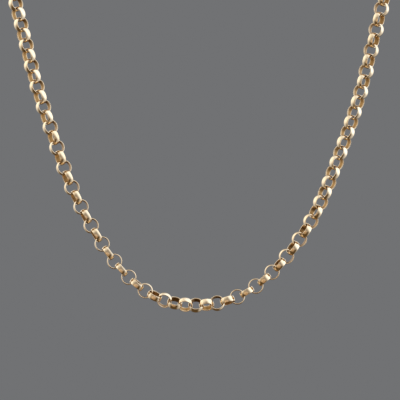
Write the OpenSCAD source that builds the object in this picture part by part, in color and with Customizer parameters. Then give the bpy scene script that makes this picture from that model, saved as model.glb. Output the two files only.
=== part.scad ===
// A rolo chain necklace: round links of one size, each turned a quarter
// against the next, hanging as a closed loop from the back of the neck.
// Millimetres, +Z up, the front faces -Y, and the origin is where the neck carries the loop.

/* [Link] */
// Outer diameter of a link
link_d = 3.15; // [3:0.05:3.4]
// Width of the band that a link is bent from
link_w = 1.15; // [0.9:0.05:1.3]
// Thickness of the band at the top of its dome
link_t = 0.28; // [0.26:0.02:0.34]
// Height of the band's flat side, under the dome
link_side = 0.14; // [0.12:0.02:0.18]
// Chamfer along the two inner edges of the band
link_chamfer = 0.12; // [0.1:0.01:0.13]
// Play between two links when the chain is pulled tight
link_play = 0.28; // [0.25:0.01:0.35]

/* [Chain] */
// Length round the whole loop, clasp included
loop_length = 453; // [400:1:500]
// How far the middle link lies along the loop from the point opposite the clasp
middle_shift = -0.4; // [-1:0.1:1]

/* [Clasp] */
// Outer diameter of the clasp's ring
clasp_d = 6; // [5.4:0.1:8]
// Wire that the clasp's ring is made of
clasp_wire = 1; // [0.8:0.05:1.2]
// Room round the link's band in the small eye that is soldered to the ring
eye_play = 0.3; // [0.2:0.05:0.5]
// Wire that the eye is made of
eye_wire = 0.6; // [0.5:0.05:0.8]
// How deep the eye's wire sinks into the ring's wire at the solder
solder_depth = 0.2; // [0.1:0.05:0.3]

/* [Hidden] */
gold = [0.87, 0.74, 0.47];
ring_fn = 64;
dome_facets = 4;
span_steps = 12;

// The loop's route, by eye, from the nape round the left side, down the front
// and up the right side: across, back from the front, up from the lowest link.
ROUTE = [
    [0, 76, 138], [-10, 75.5, 138], [-20, 73, 137], [-30, 67.5, 134.5],
    [-39, 59.5, 131], [-46, 49.5, 126.5], [-50.5, 38, 121], [-52, 26, 115],
    [-51.5, 15, 108], [-49.5, 7, 100], [-46, 2, 91.5], [-42.5, 0, 82],
    [-39.5, 0, 72.5], [-37, 0, 63], [-34.5, 0, 53.5], [-32.3, 0, 44],
    [-29, 0, 34.5], [-26, 0, 25], [-21.7, 0, 16.5], [-16.8, 0, 8.5],
    [-9.4, 0, 1.2], [0, 0, -0.7], [9.4, 0, 1.3], [17.2, 0, 8.3],
    [23.2, 0, 16.9], [26.5, 0, 24.5], [30, 0, 34], [33.2, 0, 43.5],
    [35.3, 0, 53], [37.8, 0, 62.5], [40.2, 0, 72.5], [43, 0, 82],
    [46, 2, 91.5], [49.5, 7, 100], [51.5, 15, 108], [52, 26, 115],
    [50.5, 38, 121], [46, 49.5, 126.5], [39, 59.5, 131], [30, 67.5, 134.5],
    [20, 73, 137], [10, 75.5, 138]
];
// A point in the middle of the front, from which every link's roll is measured
hub = [0, 0, 60];

// How the strand rolls about its own line, by eye.
// Columns: share of the loop from the point opposite the clasp, degrees.
ROLL = [
    [-0.5, -45], [-0.2, -40], [-0.157, -44], [-0.14, -50], [-0.12, -54],
    [-0.1, -64], [-0.08, -71], [-0.062, -76], [-0.048, -85], [-0.034, -89],
    [-0.024, -97], [-0.015, -114], [0.004, -147], [0.018, -174], [0.032, -181],
    [0.046, -194], [0.06, -199], [0.075, -213], [0.09, -220], [0.112, -221],
    [0.13, -231], [0.15, -238], [0.2, -238], [0.5, -225]
];

function unit(v) = v / norm(v);

// One span of a uniform cubic B-spline, t from 0 to 1
function span_point(a, b, c, d, t) =
    (pow(1 - t, 3) * a + (3 * pow(t, 3) - 6 * t * t + 4) * b
     + (3 * t + 3 * t * t - 3 * pow(t, 3) + 1) * c + pow(t, 3) * d) / 6;

points = len(ROUTE);
samples = points * span_steps;
function route_point(i) =
    let (k = floor(i / span_steps), t = i / span_steps - k)
    span_point(ROUTE[(k + points - 1) % points], ROUTE[k % points],
               ROUTE[(k + 1) % points], ROUTE[(k + 2) % points], t);

raw = [for (i = [0 : samples]) route_point(i)];
steps = [for (i = [1 : samples]) norm(raw[i] - raw[i - 1])];
raw_along = [for (i = 0, s = 0; i <= samples; s = s + (i < samples ? steps[i] : 0), i = i + 1) s];
stretch = loop_length / raw_along[samples];
path = [for (p = raw) (p - raw[0]) * stretch];
hub_at = (hub - raw[0]) * stretch;
along = raw_along * stretch;
path_x = [for (i = [0 : samples]) [along[i], path[i].x]];
path_y = [for (i = [0 : samples]) [along[i], path[i].y]];
path_z = [for (i = [0 : samples]) [along[i], path[i].z]];
roll_at = [for (row = ROLL) [(row[0] + 0.5) * loop_length, row[1]]];

// The band's section: flat inside, domed outside
bore_r = link_d / 2 - link_t;
band_mid_r = link_d / 2 - link_t / 2;
flat_w = link_w - 2 * link_chamfer;
dome_h = link_t - link_side;
dome_r = (pow(link_w / 2, 2) + pow(dome_h, 2)) / (2 * dome_h);
dome_angle = asin(link_w / 2 / dome_r);
tight_pitch = 2 * sqrt(pow(bore_r, 2) - pow(flat_w / 2, 2));

// The clasp: its ring hangs on one end link, its eye on the other
ring_mid_r = (clasp_d - clasp_wire) / 2;
eye_mid_r = norm([link_w, link_t]) / 2 + eye_play + eye_wire / 2;
eye_x = clasp_d / 2 - solder_depth + eye_wire / 2 + eye_mid_r;
ring_to_link = clasp_d / 2 - clasp_wire + bore_r - link_play;
eye_to_link = eye_x + band_mid_r;

// Links lie evenly from one side of the clasp to the other, an odd number of them
linked_length = loop_length - ring_to_link - eye_to_link;
half_links = round(linked_length / (tight_pitch - link_play) / 2);
pitch = linked_length / (2 * half_links);
middle = loop_length / 2 + middle_shift;
clasp_at = middle - half_links * pitch - eye_to_link;

function wrapped(s) = (s + loop_length) % loop_length;
function place(s) = let (u = wrapped(s)) [lookup(u, path_x), lookup(u, path_y), lookup(u, path_z)];
function heading(s) = unit(place(s + pitch / 2) - place(s - pitch / 2));

// Stands its children on the route: X along the strand, Z along the axis of a
// link that is rolled by the given angle from facing out of the front
module on_route(s, roll) {
    at = place(s);
    ahead = heading(s);
    inward = hub_at - at;
    level = unit(inward - (inward * ahead) * ahead);
    facing = cross(ahead, level);
    axis = cos(roll) * facing + sin(roll) * level;
    beside = cross(axis, ahead);
    multmatrix([
        [ahead.x, beside.x, axis.x, at.x],
        [ahead.y, beside.y, axis.y, at.y],
        [ahead.z, beside.z, axis.z, at.z]
    ]) children();
}

module band_section() {
    dome = [for (i = [0 : dome_facets])
        let (a = dome_angle * (2 * i / dome_facets - 1))
        [link_d / 2 - dome_r + dome_r * cos(a), dome_r * sin(a)]];
    polygon(concat(
        [[bore_r, -flat_w / 2], [bore_r + link_chamfer, -link_w / 2]],
        dome,
        [[bore_r + link_chamfer, link_w / 2], [bore_r, flat_w / 2]]
    ));
}

module link() {
    rotate_extrude($fn = ring_fn) band_section();
}

module strand(first, last) {
    for (i = [first : last]) {
        s = middle + i * pitch;
        on_route(s, lookup(s, roll_at) + 90 * i) link();
    }
}

module round_ring(mid_r, wire) {
    rotate_extrude($fn = ring_fn) translate([mid_r, 0]) circle(d = wire, $fn = ring_fn / 2);
}

module chain_left() {
    color(gold) strand(-half_links, 0);
}

module chain_right() {
    color(gold) strand(1, half_links);
}

module clasp() {
    color(gold)
        on_route(clasp_at, ROLL[0][1] + 90 * (half_links + 1)) {
            round_ring(ring_mid_r, clasp_wire);
            translate([eye_x, 0, 0]) round_ring(eye_mid_r, eye_wire);
        }
}

chain_left();
chain_right();
clasp();
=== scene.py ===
# A rolo chain necklace of polished pale gold, hanging in a small studio.
# Metres, +Z up, the front of the necklace faces -Y.
import math
import random

import bmesh
import bpy
import numpy as np
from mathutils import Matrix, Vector


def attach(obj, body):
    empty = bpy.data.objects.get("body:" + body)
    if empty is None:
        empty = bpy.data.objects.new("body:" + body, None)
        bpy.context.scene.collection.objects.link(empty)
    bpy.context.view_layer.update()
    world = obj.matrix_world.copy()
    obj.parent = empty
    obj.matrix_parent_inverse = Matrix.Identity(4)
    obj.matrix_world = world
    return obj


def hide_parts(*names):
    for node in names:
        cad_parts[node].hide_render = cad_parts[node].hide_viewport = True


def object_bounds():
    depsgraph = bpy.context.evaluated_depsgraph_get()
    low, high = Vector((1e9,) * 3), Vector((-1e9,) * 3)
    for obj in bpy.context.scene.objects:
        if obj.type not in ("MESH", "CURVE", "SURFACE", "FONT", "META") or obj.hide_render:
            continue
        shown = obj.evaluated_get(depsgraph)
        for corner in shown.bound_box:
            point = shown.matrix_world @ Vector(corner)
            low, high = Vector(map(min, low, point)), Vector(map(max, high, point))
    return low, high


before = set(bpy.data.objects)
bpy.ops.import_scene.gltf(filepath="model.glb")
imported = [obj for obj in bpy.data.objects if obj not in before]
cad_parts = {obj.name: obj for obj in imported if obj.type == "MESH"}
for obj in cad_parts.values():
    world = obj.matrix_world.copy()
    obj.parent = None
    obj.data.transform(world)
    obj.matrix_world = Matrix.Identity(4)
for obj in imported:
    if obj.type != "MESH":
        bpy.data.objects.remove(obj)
cad_low, cad_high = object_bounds()

MM = 0.001

# The camera looks level at the hanging front, as the photo does
VIEW_ACROSS = 0.6 * MM    # from the middle of the neck to the picture's centre
VIEW_UP = 21.05 * MM      # from the lowest link's centre to the picture's centre
VIEW_WIDTH = 80 * MM      # what the picture spans at the chain's front
VIEW_DISTANCE = 450 * MM  # from the camera to the chain's front
SENSOR = 36.0

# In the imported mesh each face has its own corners. Those this close are one.
WELD = 0.2e-6

# A link's band: flat inside, low straight sides, domed outside, soft edges
SIDE_HEIGHT = 0.14 * MM
INNER_EDGE = 0.09 * MM  # radius of the soft edge
OUTER_EDGE = 0.08 * MM
AROUND = 64
FLAT_STEPS = 3
INNER_EDGE_STEPS = 3
OUTER_EDGE_STEPS = 2
DOME_STEPS = 5
# Keeps the smooth surfaces inside the part's faceted ones
INSET = 0.02 * MM
# How far round its inside from the strand's line a link is rubbed by the next one
RUB_REACH = 0.9 * MM

# The clasp: a ring with a small soldered eye
EYE_WIRE = 0.6 * MM
SOLDER_DEPTH = 0.2 * MM
RING_AROUND = 96
WIRE_AROUND = 28

# Polished gold. Each link has its own tone, and clouds of warmer metal cross it.
SEED = 7
GOLD = (0.97, 0.78, 0.52)
WARM_GOLD = (0.95, 0.71, 0.42)
CLOUD_SCALE = 900.0  # per metre
CLOUD_WEIGHT = 0.5   # against the link's tone
WARM_SHARE = 0.6
# The inside of a link: painted shade in its colour, a duller finish where the polish doesn't
# reach, and its rubbed places
PAINTED_SHADE_GOLD = (0.33, 0.18, 0.06)
SHADE_AND_DULL_FADE = (0.65, 1.0)  # from the band's middle, as shares of its half width
DULL_ROUGHNESS = 0.25    # on top of the polished metal's
RUB_ROUGHNESS = 0.12     # on top of that
# Fine polishing lines along the band: cycles per millimetre along and across,
# the part of the noise that shows, and the roughness from its low to its high end
LINES = (0.8, 26.0, 1.0)
LINE_NOISE = (0.35, 0.75)
LINE_ROUGHNESS = (0.06, 0.16)
LINE_BUMP = 0.05
LINE_DEPTH = 0.01 * MM
# Slight unevenness of the hand-bent band
WAVE_SCALE = 700.0
WAVE_BUMP = 0.35
WAVE_DEPTH = 0.06 * MM

# The studio: a floor under the necklace and soft panels far away.
# Columns: towards the panel, degrees from its middle to where it starts to
# fade and to where it is gone, colour, strength.
FLOOR_DROP = 110 * MM
FLOOR_RADIUS = 0.9
FLOOR_COLOUR = (0.66, 0.6, 0.53)
FLOOR_ROUGHNESS = 0.8
BACKDROP = (0.165, 0.168, 0.174)
PANELS = [
    ((0.80, 0.11, 0.59), 16, 76, (0.63, 0.73, 0.89), 1.75),
    ((-0.70, 0.08, 0.71), 8, 68, (0.84, 0.88, 0.90), 0.72),
    ((-0.88, 0.40, 0.26), 8, 68, (0.77, 0.82, 0.89), 0.90),
    ((0.88, 0.24, -0.40), 8, 54, (0.70, 0.77, 0.89), 0.72),
    ((-0.70, -0.70, -0.13), 8, 35, (1.0, 0.92, 0.82), 0.30),
    ((0.44, -0.65, 0.62), 50, 72, (0.77, 0.80, 0.89), 0.31),
    ((-0.20, -0.90, -0.40), 8, 40, (1.0, 0.75, 0.55), 0.38),
]
DIM_STUDIO = (0.095, 0.066, 0.034)


def arc(centre, radius, start, end, steps):
    """Points of an arc with their outward normals, from start to end in radians."""
    rows = []
    for i in range(steps + 1):
        a = start + (end - start) * i / steps
        normal = (math.cos(a), math.sin(a))
        rows.append((centre[0] + radius * normal[0], centre[1] + radius * normal[1], *normal))
    return rows


def band_profile(inner, outer, half_width):
    """The band's closed section, made as mirrored halves, in rows of radius,
    height and the normal's two parts."""
    rise = outer - inner - SIDE_HEIGHT
    dome = (half_width ** 2 + rise ** 2) / (2 * rise)
    dome_centre = outer - dome
    reach = half_width - OUTER_EDGE
    edge_centre = dome_centre + math.sqrt((dome - OUTER_EDGE) ** 2 - reach ** 2)
    lean = math.atan2(reach, edge_centre - dome_centre)
    flat = half_width - INNER_EDGE
    half = [(inner, flat * i / FLAT_STEPS, -1.0, 0.0) for i in range(FLAT_STEPS)]
    half += arc((inner + INNER_EDGE, flat), INNER_EDGE, math.pi, math.pi / 2, INNER_EDGE_STEPS)
    half += arc((edge_centre, reach), OUTER_EDGE, math.pi / 2, lean, OUTER_EDGE_STEPS)
    half += arc((dome_centre, 0.0), dome, lean, 0.0, DOME_STEPS)[1:]
    return half + [(r, -z, nr, -nz) for r, z, nr, nz in half[-2:0:-1]]


def wire_profile(ring_radius, wire):
    """A round wire's section, in the same rows."""
    return arc((ring_radius, 0.0), wire / 2, math.pi, -math.pi, WIRE_AROUND)[:-1]


def islands(node):
    """The closed bodies of a CAD node, each as face middles, face areas and corners."""
    mesh = bmesh.new()
    mesh.from_mesh(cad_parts[node].data)
    bmesh.ops.remove_doubles(mesh, verts=mesh.verts, dist=WELD)
    seen = set()
    for first in mesh.faces:
        if first in seen:
            continue
        seen.add(first)
        faces = [first]
        for face in faces:
            for edge in face.edges:
                for other in edge.link_faces:
                    if other not in seen:
                        seen.add(other)
                        faces.append(other)
        yield (np.array([face.calc_center_median() for face in faces]),
               np.array([face.calc_area() for face in faces]),
               np.array([vert.co for face in faces for vert in face.verts]))
    mesh.free()


def link_places(node):
    """Each link of a strand: its centre and axis, and its band's inner radius,
    outer radius and half width."""
    links = []
    for middles, areas, corners in islands(node):
        centre = areas @ middles / areas.sum()
        off = middles - centre
        axis = np.linalg.eigh((off * areas[:, None]).T @ off)[1][:, 0]
        height = (corners - centre) @ axis
        radius = np.linalg.norm(corners - centre - np.outer(height, axis), axis=1)
        links.append((centre, axis, radius.min(), radius.max(), np.abs(height).max()))
    return links


def ring_mesh(name, rings, around):
    """One mesh of many rings. Each ring is its centre, the direction where it
    starts, its axis, its profile, its tone, and 1 for a flat inside or 0."""
    points, normals, quads, maps, tones, insides, rubs = [], [], [], [], [], [], []
    first = 0
    for centre, start, axis, profile, tone, flat in rings:
        rows = np.array(profile)
        across = np.cross(axis, start)
        turn = 2 * math.pi * np.arange(around) / around
        out = np.outer(np.cos(turn), start) + np.outer(np.sin(turn), across)
        radius, height, lean_out, lean_along = (rows[:, k:k + 1] for k in range(4))
        points.append((centre + out[:, None] * radius + axis * height).reshape(-1, 3))
        normals.append((out[:, None] * lean_out + axis * lean_along).reshape(-1, 3))

        count = len(rows)
        i, j = np.meshgrid(np.arange(around), np.arange(count), indexing="ij")
        next_i, next_j = (i + 1) % around, (j + 1) % count
        corners = [(i, j), (i, next_j), (next_i, next_j), (next_i, j)]
        quads.append(first + np.stack([a * count + b for a, b in corners], -1).reshape(-1, 4))
        first += around * count

        edges = np.linalg.norm(np.diff(rows[:, :2], axis=0, append=rows[:1, :2]), axis=1)
        along = 2 * math.pi * rows[:, 0].max() * np.arange(around + 1) / around
        across_band = np.concatenate([[0.0], np.cumsum(edges)])
        mapped = [(i, j), (i, j + 1), (i + 1, j + 1), (i + 1, j)]
        pairs = [np.stack([along[a], across_band[b]], -1) for a, b in mapped]
        maps.append(np.stack(pairs, 2).reshape(-1, 2))

        tones.append(np.full(around * count, tone))
        from_line = np.abs(np.arcsin(np.clip(np.sin(turn), -1, 1))) * rows[:, 0].min()
        near = np.clip(1 - from_line / RUB_REACH, 0, 1)
        from_middle = np.abs(rows[:, 1]) / rows[:, 1].max()
        # The inside's mask: painted shade in the colour, and a duller finish in the roughness
        inside = np.clip(-rows[:, 2], 0, 1) * np.interp(from_middle, SHADE_AND_DULL_FADE, (1, 0)) * flat
        insides.append(np.tile(inside, around))
        rubs.append(np.outer(near, inside).ravel())

    mesh = bpy.data.meshes.new(name)
    mesh.from_pydata(np.concatenate(points).tolist(), [], np.concatenate(quads).tolist())
    layer = mesh.uv_layers.new(name="band")
    layer.uv.foreach_set("vector", (np.concatenate(maps) / MM).astype(np.float32).ravel())
    for label, values in (("tone", tones), ("inside", insides), ("rub", rubs)):
        kept = mesh.attributes.new(label, "FLOAT", "POINT")
        kept.data.foreach_set("value", np.concatenate(values).astype(np.float32))
    mesh.shade_smooth()
    mesh.normals_split_custom_set_from_vertices(np.concatenate(normals).tolist())
    return mesh


def add_piece(name, mesh, material, *nodes):
    """A piece of the necklace that stands for the given CAD nodes."""
    piece = bpy.data.objects.new(name, mesh)
    bpy.context.scene.collection.objects.link(piece)
    mesh.materials.append(material)
    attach(piece, "root")
    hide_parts(*nodes)
    return piece


def add_strand(side, material, draws):
    """A strand's fine links, in two pieces: the neck's stretch and the hanging front."""
    node = "chain_" + side
    links = sorted(link_places(node), key=lambda link: link[0][2])
    centres = np.array([link[0] for link in links])
    inner, outer, half_width = np.median([link[2:] for link in links], axis=0)
    profile = band_profile(inner, outer - INSET, half_width - INSET / 2)
    rings = []
    for centre, axis in (link[:2] for link in links):
        others = centres - centre
        away = np.linalg.norm(others, axis=1)
        away[away == 0] = np.inf
        towards = others[away.argmin()]
        start = towards - (towards @ axis) * axis
        rings.append((centre, start / np.linalg.norm(start), axis, profile, draws.random(), 1.0))
    half = len(rings) // 2
    for part, some in (("front", rings[:half]), ("neck", rings[half:])):
        name = side + "_" + part + "_links"
        add_piece(name, ring_mesh(name, some, AROUND), material, node)
    return centres[0]


def add_clasp(material, draws):
    """The clasp's ring and its soldered eye, over the CAD clasp."""
    middles, areas, corners = next(islands("clasp"))
    centre = areas @ middles / areas.sum()
    off = middles - centre
    axes = np.linalg.eigh((off * areas[:, None]).T @ off)[1]
    axis, across, along = axes[:, 0], axes[:, 1], axes[:, 2]
    # The eye is on the side that reaches further
    reach = (corners - centre) @ along
    if reach.max() < -reach.min():
        along = -along
        reach = -reach
    wire = np.ptp((corners - centre) @ axis)
    outer = np.ptp((corners - centre) @ across)
    middle = centre + across * ((corners - centre) @ across).min() + across * outer / 2
    middle = middle + axis * (((corners - centre) @ axis).min() + wire / 2)
    ring_at = middle + along * (reach.min() + outer / 2)
    eye_outer = np.ptp(reach) - outer + SOLDER_DEPTH
    eye_at = middle + along * (reach.max() - eye_outer / 2)
    tone = draws.random()
    ring_section = wire_profile((outer - wire) / 2, wire - INSET)
    eye_section = wire_profile((eye_outer - EYE_WIRE) / 2, EYE_WIRE - INSET)
    rings = [
        (ring_at, along, axis, ring_section, tone, 0.0),
        (eye_at, along, axis, eye_section, tone, 0.0),
    ]
    add_piece("clasp_ring", ring_mesh("clasp_ring", rings, RING_AROUND), material, "clasp")


def add_node(tree, kind, **settings):
    """A shader node with its settings and the values of its sockets."""
    node = tree.nodes.new(kind)
    for name, value in settings.items():
        if hasattr(node, name):
            setattr(node, name, value)
        else:
            node.inputs[name.replace("_", " ")].default_value = value
    return node


def gold_material():
    """Polished pale gold with its own tint on each link, painted shade along each link's inside,
    polishing lines and rubbed places.
    """
    material = bpy.data.materials.new("polished_gold")
    material.use_nodes = True
    tree = material.node_tree
    link = tree.links.new
    shader = tree.nodes["Principled BSDF"]
    shader.inputs["Metallic"].default_value = 1.0

    tone = add_node(tree, "ShaderNodeAttribute", attribute_name="tone")
    rub = add_node(tree, "ShaderNodeAttribute", attribute_name="rub")
    band = add_node(tree, "ShaderNodeUVMap", uv_map="band")
    place = add_node(tree, "ShaderNodeTexCoord")

    # Clouds of warmer metal, a few to a link
    clouds = add_node(tree, "ShaderNodeTexNoise", Scale=CLOUD_SCALE, Detail=2.0)
    link(place.outputs["Object"], clouds.inputs["Vector"])
    warmth = add_node(tree, "ShaderNodeMath", operation="MULTIPLY_ADD")
    warmth.inputs[1].default_value = CLOUD_WEIGHT
    link(clouds.outputs["Fac"], warmth.inputs[0])
    link(tone.outputs["Fac"], warmth.inputs[2])
    colour = add_node(tree, "ShaderNodeMix", data_type="RGBA")
    colour.inputs["A"].default_value = (*GOLD, 1)
    colour.inputs["B"].default_value = (*WARM_GOLD, 1)
    share = add_node(tree, "ShaderNodeMath", operation="MULTIPLY")
    share.inputs[1].default_value = WARM_SHARE
    link(warmth.outputs[0], share.inputs[0])
    link(share.outputs[0], colour.inputs["Factor"])

    # Painted shade along the inside of a link
    inside = add_node(tree, "ShaderNodeAttribute", attribute_name="inside")
    painted_shade = add_node(tree, "ShaderNodeMix", data_type="RGBA")
    painted_shade.inputs["B"].default_value = (*PAINTED_SHADE_GOLD, 1)
    link(inside.outputs["Fac"], painted_shade.inputs["Factor"])
    link(colour.outputs["Result"], painted_shade.inputs["A"])
    link(painted_shade.outputs["Result"], shader.inputs["Base Color"])

    # Fine lines from polishing, along the band
    stretch = add_node(tree, "ShaderNodeMapping")
    stretch.inputs["Scale"].default_value = LINES
    link(band.outputs["UV"], stretch.inputs["Vector"])
    lines = add_node(tree, "ShaderNodeTexNoise", Scale=1.0, Detail=3.0)
    link(stretch.outputs["Vector"], lines.inputs["Vector"])
    roughness = add_node(tree, "ShaderNodeMapRange")
    for end, noise, rough in zip(("Min", "Max"), LINE_NOISE, LINE_ROUGHNESS):
        roughness.inputs["From " + end].default_value = noise
        roughness.inputs["To " + end].default_value = rough
    link(lines.outputs["Fac"], roughness.inputs["Value"])
    dull = add_node(tree, "ShaderNodeMath", operation="MULTIPLY_ADD")
    dull.inputs[1].default_value = DULL_ROUGHNESS
    link(inside.outputs["Fac"], dull.inputs[0])
    link(roughness.outputs["Result"], dull.inputs[2])
    rubbed = add_node(tree, "ShaderNodeMath", operation="MULTIPLY_ADD")
    rubbed.inputs[1].default_value = RUB_ROUGHNESS
    link(rub.outputs["Fac"], rubbed.inputs[0])
    link(dull.outputs[0], rubbed.inputs[2])
    link(rubbed.outputs[0], shader.inputs["Roughness"])

    # The same lines in relief, and the band's unevenness
    grain = add_node(tree, "ShaderNodeBump", Strength=LINE_BUMP, Distance=LINE_DEPTH)
    link(lines.outputs["Fac"], grain.inputs["Height"])
    waves = add_node(tree, "ShaderNodeTexNoise", Scale=WAVE_SCALE, Detail=1.0)
    link(place.outputs["Object"], waves.inputs["Vector"])
    uneven = add_node(tree, "ShaderNodeBump", Strength=WAVE_BUMP, Distance=WAVE_DEPTH)
    link(waves.outputs["Fac"], uneven.inputs["Height"])
    link(grain.outputs["Normal"], uneven.inputs["Normal"])
    link(uneven.outputs["Normal"], shader.inputs["Normal"])
    return material


def floor_material():
    """A plain pale floor."""
    material = bpy.data.materials.new("pale_floor")
    material.use_nodes = True
    shader = material.node_tree.nodes["Principled BSDF"]
    shader.inputs["Roughness"].default_value = FLOOR_ROUGHNESS
    shader.inputs["Base Color"].default_value = (*FLOOR_COLOUR, 1)
    return material


def add_floor(centre):
    """The floor's disc, under the necklace."""
    mesh = bmesh.new()
    bmesh.ops.create_circle(mesh, cap_ends=True, segments=128, radius=FLOOR_RADIUS)
    data = bpy.data.meshes.new("floor")
    mesh.to_mesh(data)
    mesh.free()
    floor = bpy.data.objects.new("floor", data)
    floor.location = (centre.x, centre.y, cad_low.z - FLOOR_DROP)
    floor.visible_glossy = False
    data.materials.append(floor_material())
    bpy.context.scene.collection.objects.link(floor)


def add_studio():
    """Soft panels in the world's light, and a plain backdrop for the camera."""
    world = bpy.data.worlds.new("studio")
    bpy.context.scene.world = world
    world.use_nodes = True
    tree = world.node_tree
    link = tree.links.new
    background = tree.nodes["Background"]
    towards = add_node(tree, "ShaderNodeTexCoord")
    # Each panel's glow is added to the glow of those before it
    total = None
    for direction, full, gone, colour, strength in PANELS:
        toward = add_node(tree, "ShaderNodeVectorMath", operation="DOT_PRODUCT")
        toward.inputs[1].default_value = Vector(direction).normalized()
        link(towards.outputs["Generated"], toward.inputs[0])
        fade = add_node(tree, "ShaderNodeMapRange", interpolation_type="SMOOTHSTEP")
        fade.inputs["From Min"].default_value = math.cos(math.radians(gone))
        fade.inputs["From Max"].default_value = math.cos(math.radians(full))
        link(toward.outputs["Value"], fade.inputs["Value"])
        glow = add_node(tree, "ShaderNodeVectorMath", operation="MULTIPLY_ADD")
        glow.inputs[1].default_value = Vector(colour) * strength
        glow.inputs[2].default_value = DIM_STUDIO
        link(fade.outputs["Result"], glow.inputs[0])
        if total is not None:
            link(total, glow.inputs[2])
        total = glow.outputs["Vector"]

    rays = add_node(tree, "ShaderNodeLightPath")
    seen = add_node(tree, "ShaderNodeMix", data_type="RGBA")
    seen.inputs["B"].default_value = (*BACKDROP, 1)
    link(rays.outputs["Is Camera Ray"], seen.inputs["Factor"])
    link(total, seen.inputs["A"])
    link(seen.outputs["Result"], background.inputs["Color"])


def add_camera(lowest):
    """A level camera in front of the hanging front."""
    data = bpy.data.cameras.new("camera")
    data.sensor_width = SENSOR
    data.lens = SENSOR * VIEW_DISTANCE / VIEW_WIDTH
    data.clip_start = 0.01
    camera = bpy.data.objects.new("camera", data)
    camera.location = (VIEW_ACROSS, lowest[1] - VIEW_DISTANCE, lowest[2] + VIEW_UP)
    camera.rotation_euler = (math.radians(90), 0, 0)
    bpy.context.scene.collection.objects.link(camera)
    bpy.context.scene.camera = camera


draws = random.Random(SEED)
gold = gold_material()
lowest = add_strand("left", gold, draws)
add_strand("right", gold, draws)
add_clasp(gold, draws)
add_floor((cad_low + cad_high) / 2)
add_studio()
add_camera(lowest)
bpy.context.scene.view_settings.view_transform = "Standard"
